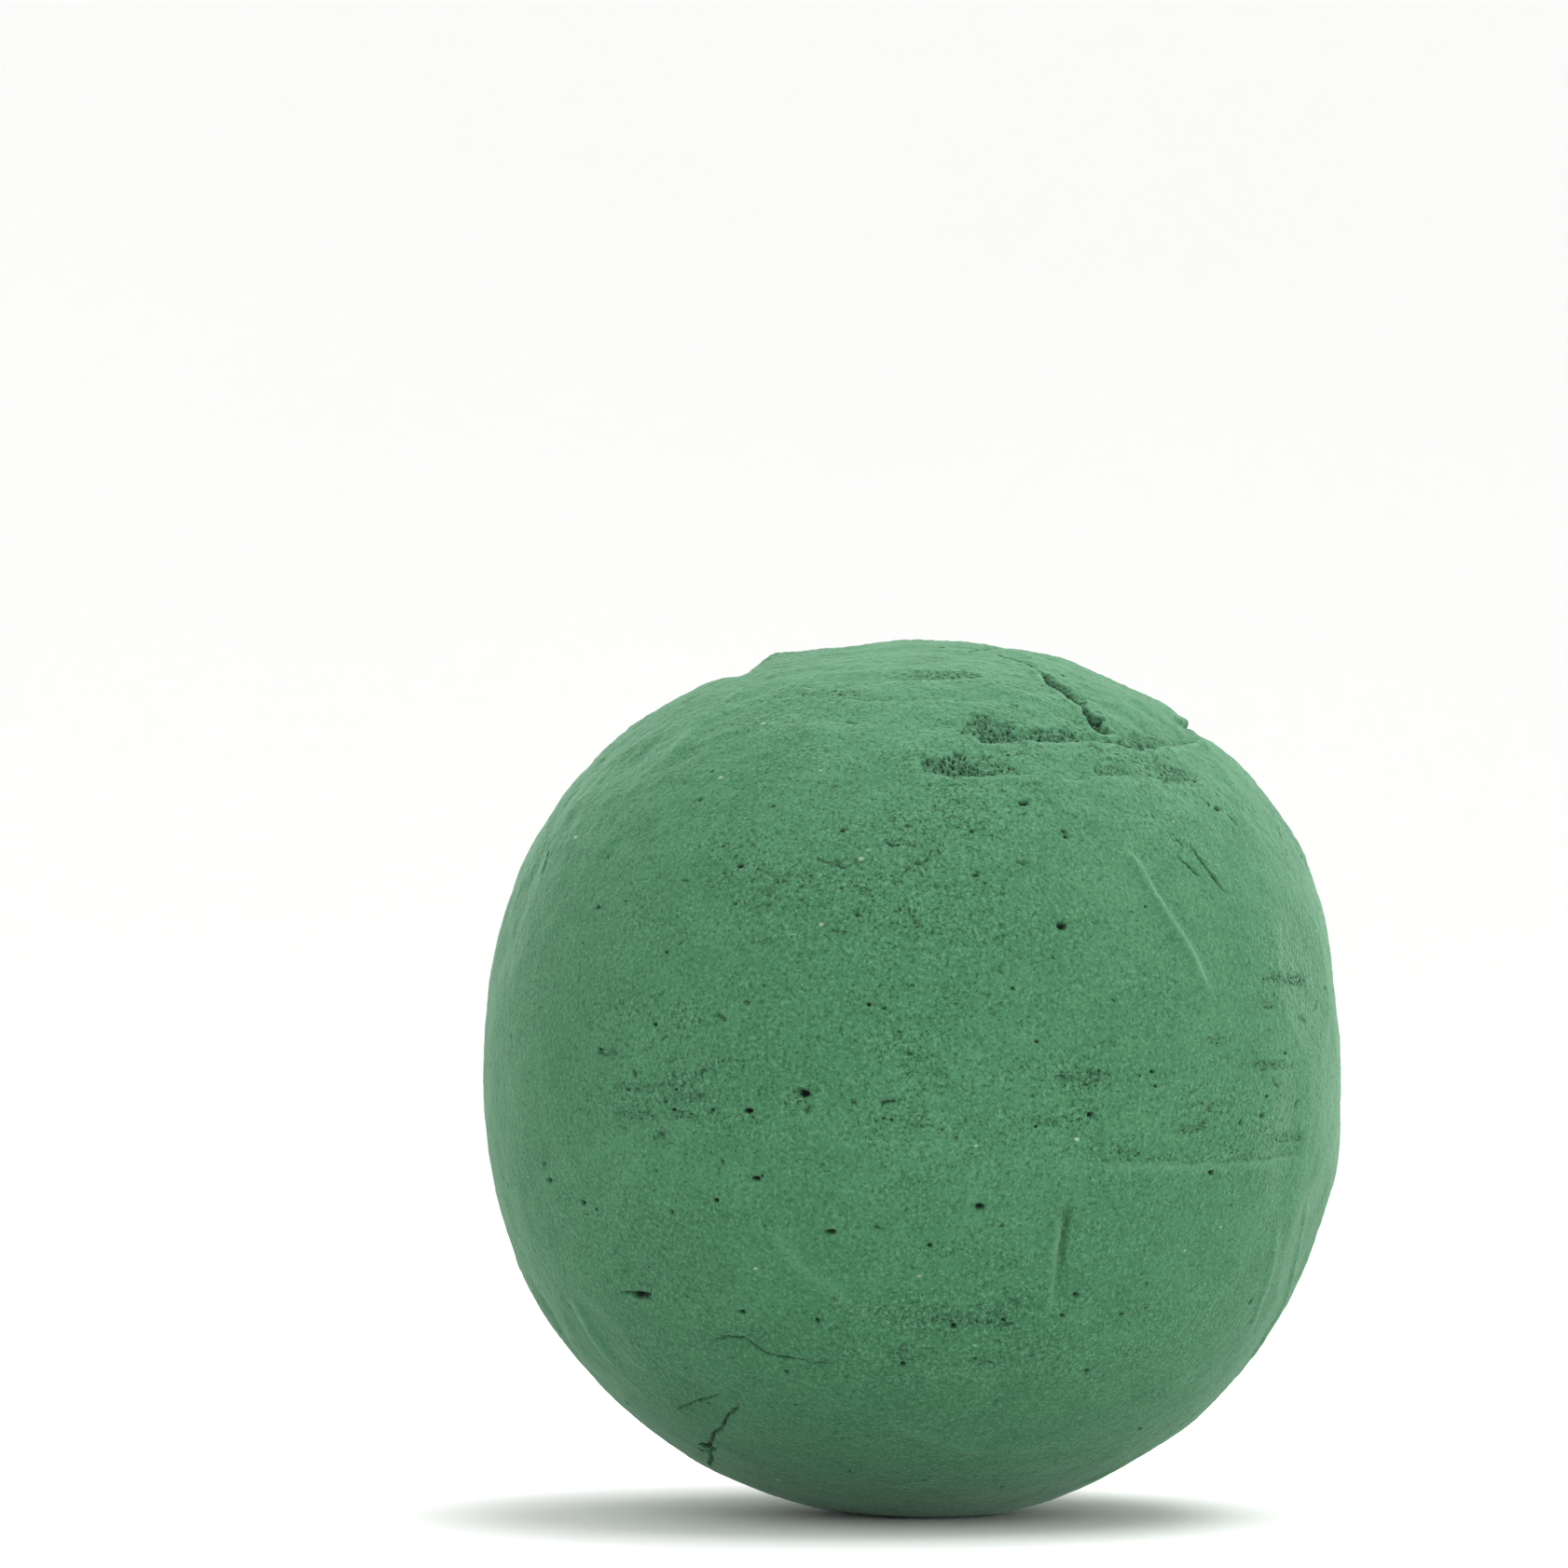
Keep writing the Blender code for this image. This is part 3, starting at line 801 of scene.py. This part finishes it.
def sharp_places(plan):
    """Points at the marks that need a finer mesh and how far each reaches: all, then torn ones."""
    torn = places_along(plan["crack"], 2.4)
    for middle, size, _ in plan["patches"]:
        across = unit(np.cross([0.0, 0.0, 1.0], unit(middle)))
        for share in np.linspace(-1.0, 1.0, 9):
            torn.append((middle + across * share * size[0], 1.1 * size[1]))
    torn += [(middle, 1.2 * max(size)) for middle, size, _ in plan["gouges"]]
    every = list(torn)
    pits = [(middle, max(w, h)) for middle, w, h, _ in plan["pits"]]
    every += [(middle, 0.7 * wide) for middle, wide in pits if wide > FINE_PIT]
    for line, _, _ in plan["cuts"]:
        every += places_along(line, 0.4)
    for line, _, _, _ in plan["steps"]:
        every += places_along(line, 0.5)
    return every, torn


def divide_near(bm, places, cuts, margin):
    """Cut up the faces of the cube that carry a mark."""
    bm.faces.ensure_lookup_table()
    middles = cube_to_ball(np.array([face.calc_center_median() for face in bm.faces])) * MEAN_RADIUS
    chosen = np.zeros(len(middles), bool)
    for place, reach in places:
        away = ((middles - unit(place) * MEAN_RADIUS) ** 2).sum(axis=1)
        chosen |= away < (reach + margin) ** 2
    edges = {edge for index in np.nonzero(chosen)[0] for edge in bm.faces[index].edges}
    bmesh.ops.subdivide_edges(bm, edges=list(edges), cuts=cuts, use_grid_fill=True)


def foam_mesh(plan):
    """Even grid over a cube, finer where the marks are sharp, as a mesh still on the cube."""
    bm = bmesh.new()
    bmesh.ops.create_cube(bm, size=2.0)
    bmesh.ops.subdivide_edges(bm, edges=bm.edges[:], cuts=CAGE_CELLS - 1, use_grid_fill=True)
    margin = 0.8 * math.pi / 2.0 * MEAN_RADIUS / CAGE_CELLS  # a bit under one cell
    for places, cuts in zip(sharp_places(plan), FINE_CUTS):
        divide_near(bm, places, cuts, margin)
        margin *= 0.5
    mesh = bpy.data.meshes.new("foam_skin_cage")
    bm.to_mesh(mesh)
    bm.free()
    cage = bpy.data.objects.new("foam_skin_cage", mesh)
    bpy.context.scene.collection.objects.link(cage)
    divide = cage.modifiers.new("divide", "SUBSURF")
    divide.subdivision_type = "SIMPLE"
    divide.levels = SMOOTH_LEVELS
    divide.render_levels = SMOOTH_LEVELS
    graph = bpy.context.evaluated_depsgraph_get()
    fine = bpy.data.meshes.new_from_object(cage.evaluated_get(graph))
    bpy.data.objects.remove(cage)
    bpy.data.meshes.remove(mesh)
    return fine


def read_points(mesh):
    flat = np.empty(len(mesh.vertices) * 3, np.float32)
    mesh.vertices.foreach_get("co", flat)
    return flat.reshape(-1, 3).astype(np.float64)


def make_ball():
    low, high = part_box("foam_ball")
    scale = (high[2] - low[2]) / FORM_HEIGHT
    plan = plan_marks()
    mesh = foam_mesh(plan)
    skin = Skin(cube_to_ball(read_points(mesh)))
    mark_skin(skin, plan)
    roughen_skin(skin)
    points = skin.points + skin.towards * skin.height[:, None] + skin.slip
    points[:, 2] += REST_HEIGHT
    points[:, 2] = np.maximum(points[:, 2], 0.0)
    points = points * scale + np.array([0.0, 0.0, low[2]])
    mesh.vertices.foreach_set("co", points.astype(np.float32).ravel())
    for name in ("torn", "coarse", "painted_shade", "painted_highlight"):
        values = np.clip(getattr(skin, name), 0.0, 1.0).astype(np.float32)
        mesh.attributes.new(name, "FLOAT", "POINT").data.foreach_set("value", values)
    mesh.name = "foam_skin"
    mesh.update()
    mesh.shade_smooth()
    ball = bpy.data.objects.new("foam_skin", mesh)
    bpy.context.scene.collection.objects.link(ball)
    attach(ball, "root")
    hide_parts("foam_ball")
    return ball


# ---------------------------------------------------------------- materials
FOAM_GREEN = (0.051, 0.168, 0.081, 1.0)
# colour of random deep patches and of the painted shade towards the bottom
FOAM_DEEP_TONE_AND_SHADE = (0.039, 0.137, 0.065, 1.0)
FOAM_DUSTY = (0.078, 0.214, 0.115, 1.0)
# colour of the painted highlights on the grain's crests, on ridges and on lips
FOAM_HIGHLIGHT = (0.117, 0.280, 0.163, 1.0)
# colour of the painted shade in the grain's gaps, in specks and over torn places
FOAM_SHADE = (0.0125, 0.044, 0.022, 1.0)
# colour of the painted shade in open cells, pits, cuts, gouges, sunk clumps and the crack
FOAM_HOLLOW_SHADE = (0.004, 0.010, 0.006, 1.0)
FOAM_CRUMB = (0.420, 0.500, 0.380, 1.0)
DUSTY_ABOVE = 50.0  # the foam is paler with dust from here up to the crown
DUSTY_CROWN = 84.0
SHADE_BELOW = 42.0  # and deeper in colour, as painted shade, from here down to the foot
SHADE_FOOT = 16.0
GRAIN_SIZE = 0.38
SPECK_SIZE = 0.36
OPEN_CELL_SPACING = 0.85
OPEN_CELL_RADIUS = 0.20
RELIEF_HEIGHT = 0.16
CRUMB_SPACING = 3.0
CRUMB_RADIUS = 0.24
CRUMB_SHARE = 0.35


class Graph:
    """A material's node tree, with short calls to add nodes and join them."""

    def __init__(self, name):
        self.material = bpy.data.materials.new(name)
        self.material.use_nodes = True
        self.tree = self.material.node_tree
        self.shader = self.tree.nodes["Principled BSDF"]

    def join(self, value, socket):
        if isinstance(value, bpy.types.NodeSocket):
            self.tree.links.new(value, socket)
        else:
            socket.default_value = value

    def node(self, kind, settings=None, **inputs):
        made = self.tree.nodes.new(kind)
        for name, value in (settings or {}).items():
            setattr(made, name, value)
        for name, value in inputs.items():
            self.join(value, made.inputs[name.replace("_", " ")])
        return made

    def math(self, operation, first, second=0.0, third=0.0):
        made = self.tree.nodes.new("ShaderNodeMath")
        made.operation = operation
        for value, socket in zip((first, second, third), made.inputs):
            self.join(value, socket)
        return made.outputs[0]

    def mix(self, share, first, second):
        made = self.tree.nodes.new("ShaderNodeMix")
        made.data_type = "RGBA"
        self.join(share, made.inputs[0])
        self.join(first, made.inputs[6])
        self.join(second, made.inputs[7])
        return made.outputs[2]

    def ramp(self, value, low, high):
        """0 below low, 1 above high, smooth between."""
        made = self.tree.nodes.new("ShaderNodeMapRange")
        made.interpolation_type = "SMOOTHSTEP"
        self.join(value, made.inputs["Value"])
        self.join(low, made.inputs["From Min"])
        self.join(high, made.inputs["From Max"])
        return made.outputs["Result"]

    def noise(self, where, size, detail=2.0, roughness=0.5):
        made = self.node("ShaderNodeTexNoise", Vector=where, Scale=1.0 / (size * MM),
                         Detail=detail, Roughness=roughness)
        return made.outputs["Fac"]

    def mark(self, name):
        return self.node("ShaderNodeAttribute", {"attribute_name": name}).outputs["Fac"]


def dots(graph, where, spacing, radius, share):
    """Round dots of mixed size and strength, in a share of the cells of a loose grid."""
    cell = graph.node("ShaderNodeTexVoronoi", Vector=where, Scale=1.0 / (spacing * MM))
    numbers = graph.node("ShaderNodeSeparateColor", Color=cell.outputs["Color"]).outputs
    half = 0.5 * radius / spacing
    edge = graph.math("MULTIPLY_ADD", numbers[1], half, half)
    outside = graph.ramp(cell.outputs["Distance"], graph.math("MULTIPLY", edge, 0.5), edge)
    kept = graph.math("LESS_THAN", numbers[0], share)
    kept = graph.math("MULTIPLY", kept, graph.math("MULTIPLY_ADD", numbers[2], 0.6, 0.4))
    return graph.math("MULTIPLY", graph.math("SUBTRACT", 1.0, outside), kept)


def foam_colour(graph, where, streaked, grain, marks):
    """Colour of the foam: slow changes with painted shade towards the bottom, then its grain with
    painted highlights and shade, then painted shade in its open cells and hollows.
    """
    torn, coarse, painted_shade, painted_highlight = marks
    drift = graph.ramp(graph.noise(where, 22.0, 3.0), 0.35, 0.68)
    patchy = graph.ramp(graph.noise(streaked, 3.0, 4.0, 0.6), 0.34, 0.70)
    height = graph.node("ShaderNodeSeparateXYZ", Vector=where).outputs[2]
    crown = graph.ramp(height, DUSTY_ABOVE * MM, DUSTY_CROWN * MM)
    # painted shade towards the bottom, fading out just above the floor
    shade_lower = graph.ramp(graph.math("MULTIPLY", height, -1.0), -SHADE_BELOW * MM, -SHADE_FOOT * MM)
    shade_lower = graph.math("MULTIPLY", shade_lower, graph.ramp(height, 2.0 * MM, 0.8 * SHADE_FOOT * MM))
    dusty = graph.math("MULTIPLY_ADD", drift, 0.30, graph.math("MULTIPLY", crown, 0.50))
    deep = graph.math("MULTIPLY_ADD", patchy, 0.50, graph.math("MULTIPLY", shade_lower, 0.60))
    colour = graph.mix(dusty, FOAM_GREEN, FOAM_DUSTY)
    colour = graph.mix(deep, colour, FOAM_DEEP_TONE_AND_SHADE)

    # painted highlights on the crests of the grain and painted shade in the gaps between them
    crest_highlight = graph.ramp(grain, 0.50, 0.72)
    gap_shade = graph.ramp(graph.math("SUBTRACT", 1.0, grain), 0.50, 0.74)
    crest_highlight = graph.math("MULTIPLY", crest_highlight, graph.math("MULTIPLY_ADD", coarse, 0.40, 0.44))
    gap_shade = graph.math("MULTIPLY", gap_shade, graph.math("MULTIPLY_ADD", coarse, 0.45, 0.56))
    colour = graph.mix(crest_highlight, colour, FOAM_HIGHLIGHT)
    colour = graph.mix(gap_shade, colour, FOAM_SHADE)

    # painted shade in specks and open cells, thick in the coarse places and rare elsewhere
    speck = graph.noise(streaked, SPECK_SIZE, 2.0, 0.6)
    least = graph.math("MULTIPLY_ADD", coarse, -0.13, 0.74)
    speck = graph.ramp(speck, least, graph.math("ADD", least, 0.06))
    share = graph.math("MULTIPLY_ADD", graph.math("POWER", coarse, 2.0), 0.60, 0.08)
    open_cell = dots(graph, streaked, OPEN_CELL_SPACING, OPEN_CELL_RADIUS, share)
    colour = graph.mix(graph.math("MULTIPLY", speck, 0.55), colour, FOAM_SHADE)
    colour = graph.mix(graph.math("MULTIPLY", open_cell, 0.80), colour, FOAM_HOLLOW_SHADE)
    open_cell = graph.math("MAXIMUM", open_cell, speck)

    # painted highlight on the lips and crests of the marks
    colour = graph.mix(graph.math("MULTIPLY", painted_highlight, 0.45), colour, FOAM_HIGHLIGHT)
    # painted shade over the torn places
    colour = graph.mix(graph.math("MULTIPLY", torn, 0.42), colour, FOAM_SHADE)
    # painted shade in pits, cuts, gouges, sunk clumps and the crack's wall
    colour = graph.mix(graph.math("MULTIPLY", painted_shade, 0.90), colour, FOAM_HOLLOW_SHADE)
    return colour, open_cell


def foam_material():
    graph = Graph("foam")
    where = graph.node("ShaderNodeTexCoord").outputs["Object"]
    streaked = graph.node("ShaderNodeMapping", Vector=where, Scale=(0.6, 0.6, 1.0)).outputs[0]
    marks = [graph.mark(name) for name in ("torn", "coarse", "painted_shade", "painted_highlight")]
    grain = graph.noise(where, GRAIN_SIZE, 1.4, 1.0)
    colour, open_cell = foam_colour(graph, where, streaked, grain, marks)
    crumb = dots(graph, streaked, CRUMB_SPACING, CRUMB_RADIUS, CRUMB_SHARE)
    colour = graph.mix(graph.math("MULTIPLY", crumb, 0.62), colour, FOAM_CRUMB)

    # relief of the grain and of the single open cells
    rise = graph.math("MULTIPLY_ADD", marks[1], 0.8, 0.8)
    relief = graph.math("MULTIPLY", grain, rise)
    relief = graph.math("ADD", relief, graph.math("MULTIPLY", open_cell, -0.5))
    bump = graph.node("ShaderNodeBump", Strength=1.0, Distance=RELIEF_HEIGHT * MM, Height=relief)

    shader = graph.shader
    graph.join(colour, shader.inputs["Base Color"])
    graph.join(bump.outputs[0], shader.inputs["Normal"])
    graph.join(graph.math("MULTIPLY_ADD", grain, 0.2, 0.78), shader.inputs["Roughness"])
    shader.inputs["Specular IOR Level"].default_value = 0.14
    shader.inputs["Sheen Weight"].default_value = 0.31
    shader.inputs["Sheen Roughness"].default_value = 0.38
    shader.inputs["Sheen Tint"].default_value = (0.70, 1.0, 0.79, 1.0)
    return graph.material


def floor_material():
    graph = Graph("pale_floor")
    where = graph.node("ShaderNodeTexCoord").outputs["Object"]
    tint = graph.mix(graph.noise(where, 400.0), (0.94, 0.94, 0.935, 1.0), (0.96, 0.96, 0.955, 1.0))
    graph.join(tint, graph.shader.inputs["Base Color"])
    graph.shader.inputs["Roughness"].default_value = 0.9
    graph.shader.inputs["Specular IOR Level"].default_value = 0.2
    return graph.material


# ---------------------------------------------------------------- stage, light and camera
FLOOR_RADIUS = 1.4
FLOOR_CURVE = 0.9
WALL_HEIGHT = 1.0
SWEEP_SIDES = 96
SURROUNDINGS = 0.95  # brightness of the white all round
LAMPS = [  # name, place, width in metres and power in watts
    ("softbox_above", (0.25, -0.15, 1.1), 0.8, 6.6),
    ("softbox_behind", (0.2, 0.35, 1.05), 0.8, 5.5),
    ("fill_low_right", (0.6, -0.7, 0.1), 0.4, 2.2),
]


def make_floor():
    """Round floor that curves up into a wall, so that no edge shows behind the ball."""
    arc = [math.radians(90.0 * step / 12) for step in range(13)]
    profile = [(0.0, 0.0), (FLOOR_RADIUS * 0.5, 0.0)]
    profile += [
        (FLOOR_RADIUS + FLOOR_CURVE * math.sin(a), FLOOR_CURVE * (1.0 - math.cos(a))) for a in arc
    ]
    profile.append((FLOOR_RADIUS + FLOOR_CURVE, FLOOR_CURVE + WALL_HEIGHT))
    bm = bmesh.new()
    verts = [bm.verts.new((x, 0.0, z)) for x, z in profile]
    for first, second in zip(verts, verts[1:]):
        bm.edges.new((first, second))
    bmesh.ops.spin(bm, geom=bm.verts[:] + bm.edges[:], cent=(0, 0, 0), axis=(0, 0, 1),
                   angle=math.tau, steps=SWEEP_SIDES, use_merge=True)
    bmesh.ops.remove_doubles(bm, verts=bm.verts[:], dist=0.0001)
    mesh = bpy.data.meshes.new("floor")
    bm.to_mesh(mesh)
    bm.free()
    mesh.shade_smooth()
    floor = bpy.data.objects.new("floor", mesh)
    floor.location.z = -0.0001
    bpy.context.scene.collection.objects.link(floor)
    mesh.materials.append(floor_material())


def make_light(name, place, size, power, target):
    lamp = bpy.data.lights.new(name, "AREA")
    lamp.shape = "DISK"
    lamp.size = size
    lamp.energy = power
    lit = bpy.data.objects.new(name, lamp)
    lit.location = place
    lit.visible_camera = False
    lit.rotation_euler = (target - Vector(place)).to_track_quat("-Z", "Y").to_euler()
    bpy.context.scene.collection.objects.link(lit)


def make_camera(middle):
    camera = bpy.data.cameras.new("camera")
    camera.sensor_width = 36.0
    camera.lens = camera.sensor_width * VIEW_DISTANCE / FRAME_WIDTH
    seen_from = bpy.data.objects.new("camera", camera)
    seen_from.location = middle + Vector((0.0, -VIEW_DISTANCE * MM, 0.0))
    aim = middle + Vector((-BALL_RIGHT_OF_MIDDLE, 0.0, BALL_BELOW_MIDDLE)) * MM
    seen_from.rotation_euler = (aim - seen_from.location).to_track_quat("-Z", "Y").to_euler()
    bpy.context.scene.collection.objects.link(seen_from)
    bpy.context.scene.camera = seen_from


def light_scene(middle):
    world = bpy.data.worlds.new("soft_white")
    world.use_nodes = True
    background = world.node_tree.nodes["Background"]
    background.inputs["Color"].default_value = (1.0, 1.0, 1.0, 1.0)
    background.inputs["Strength"].default_value = SURROUNDINGS
    bpy.context.scene.world = world
    for name, place, width, power in LAMPS:
        make_light(name, place, width, power, middle)
    bpy.context.scene.view_settings.view_transform = "Standard"


def main():
    ball = make_ball()
    ball.data.materials.append(foam_material())
    low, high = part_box("foam_ball")
    middle = Vector((0.0, 0.0, low[2] + (high[2] - low[2]) * REST_HEIGHT / FORM_HEIGHT))
    make_floor()
    light_scene(middle)
    make_camera(middle)


main()
